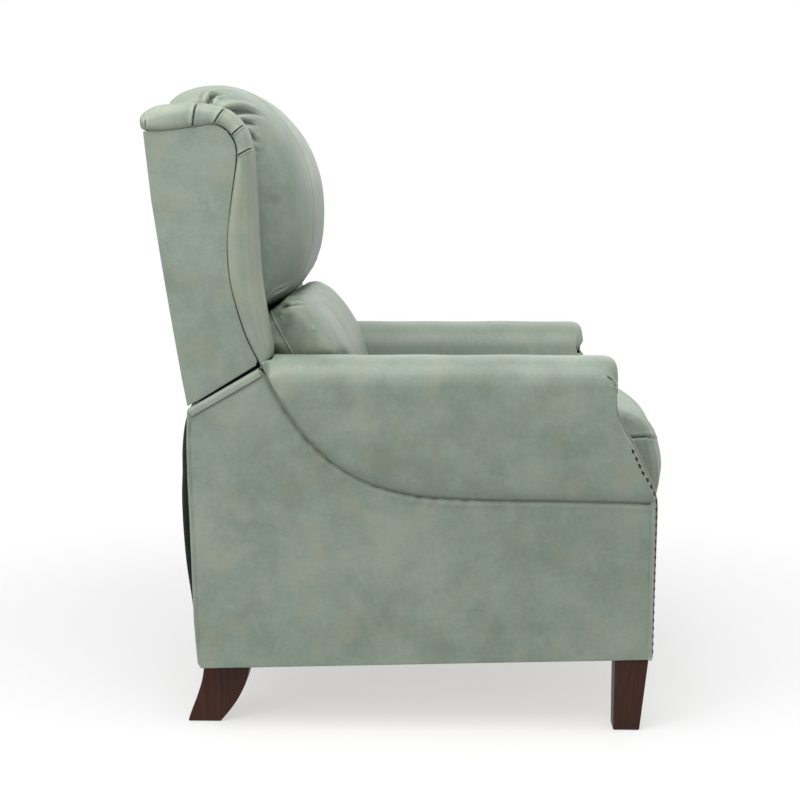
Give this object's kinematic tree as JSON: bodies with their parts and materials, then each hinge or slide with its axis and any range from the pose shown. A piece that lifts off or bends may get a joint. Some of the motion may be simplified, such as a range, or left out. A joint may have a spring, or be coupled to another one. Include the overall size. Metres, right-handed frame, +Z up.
{
  "type": "wingback recliner",
  "caption": "Upholstered push-back wing recliner with rolled arms, head and lumbar pillows, a box seat cushion, tapered and sabre legs, and a leg rest that folds under the seat.",
  "frame": {"origin": "on the floor, at the centre of the chair's footprint with the back upright and the leg rest closed", "axes": "+X towards the sitter's left, -Y towards the front, +Z up"},
  "size_m": [0.8, 0.888, 1.089],
  "materials": {
    "leather": "soft sage-green leather, slightly mottled, satin",
    "leg_wood": "dark espresso stain, satin",
    "frame_wood": "unfinished hardwood and plywood",
    "steel": "grey painted mechanism steel",
    "nail_metal": "antique bronze nail heads",
    "black_cloth": "black dust cloth",
    "spring_steel": "oiled spring wire"
  },
  "bodies": {
    "base": {"right_side_frame": "frame_wood", "left_side_frame": "frame_wood", "right_outer_side_panel": "leather", "left_outer_side_panel": "leather", "right_bottom_rail": "frame_wood", "left_bottom_rail": "frame_wood", "right_arm_front_facing": "leather", "left_arm_front_facing": "leather", "right_nail_trim": "nail_metal", "left_nail_trim": "nail_metal", "right_arm": "leather", "left_arm": "leather", "right_front_leg": "leg_wood", "left_front_leg": "leg_wood", "right_rear_leg": "leg_wood", "left_rear_leg": "leg_wood", "front_rail": "frame_wood", "rear_rail": "frame_wood", "rear_upper_rail": "frame_wood", "rear_curtain": "black_cloth", "right_mechanism_rail": "steel", "left_mechanism_rail": "steel", "right_back_pivot_bracket": "steel", "left_back_pivot_bracket": "steel"},
    "backrest": {"back_apron": "black_cloth", "right_back_post": "frame_wood", "left_back_post": "frame_wood", "back_top_rail": "frame_wood", "back_middle_rail": "frame_wood", "back_bottom_rail": "frame_wood", "outside_back_panel": "leather", "right_back_hinge_arm": "steel", "left_back_hinge_arm": "steel", "right_wing": "leather", "left_wing": "leather", "right_wing_roll": "leather", "left_wing_roll": "leather", "head_pillow": "leather", "lumbar_pillow": "leather"},
    "swing_links": {"right_swing_link": "steel", "left_swing_link": "steel"},
    "seat": {"right_seat_plate": "steel", "left_seat_plate": "steel", "seat_front_rail": "frame_wood", "seat_rear_rail": "frame_wood", "seat_spring_1": "spring_steel", "seat_spring_2": "spring_steel", "seat_spring_3": "spring_steel", "seat_spring_4": "spring_steel", "seat_cushion": "leather"},
    "lower_leg_links": {"right_lower_leg_link": "steel", "left_lower_leg_link": "steel", "leg_rest_tube": "steel"},
    "upper_leg_links": {"right_upper_leg_link": "steel", "left_upper_leg_link": "steel"},
    "leg_rest": {"leg_rest_board": "frame_wood", "right_leg_rest_bracket": "steel", "left_leg_rest_bracket": "steel", "leg_rest_pad": "leather"}
  },
  "joints": [
    {"name": "back_recline", "type": "hinge", "parent": "base", "child": "backrest", "pos_m": [0, 0.293, 0.39], "axis": [-1, 0, 0], "range_deg": [0, 35]},
    {"name": "seat_swing", "type": "hinge", "parent": "base", "child": "swing_links", "pos_m": [0, -0.136, 0.323], "axis": [-1, 0, 0], "range_deg": [0, 35]},
    {"name": "seat_level", "type": "hinge", "parent": "swing_links", "child": "seat", "pos_m": [0, -0.11874, 0.20021], "axis": [-1, 0, 0], "range_deg": [-35, 0]},
    {"name": "leg_lift", "type": "hinge", "parent": "seat", "child": "lower_leg_links", "pos_m": [0, -0.334, 0.332], "axis": [-1, 0, 0], "range_deg": [0, 112]},
    {"name": "leg_extend", "type": "hinge", "parent": "lower_leg_links", "child": "upper_leg_links", "pos_m": [0, -0.19447, 0.2537], "axis": [-1, 0, 0], "range_deg": [-61, 0]},
    {"name": "leg_rest_tilt", "type": "hinge", "parent": "upper_leg_links", "child": "leg_rest", "pos_m": [0, -0.35696, 0.28235], "axis": [-1, 0, 0], "range_deg": [0, 35]}
  ],
  "couplings": [
    {"joint": "seat_swing", "follows": "back_recline", "ratio": 1},
    {"joint": "seat_level", "follows": "back_recline", "ratio": -1},
    {"joint": "leg_extend", "follows": "leg_lift", "ratio": -0.54464},
    {"joint": "leg_rest_tilt", "follows": "leg_lift", "ratio": 0.3125}
  ]
}
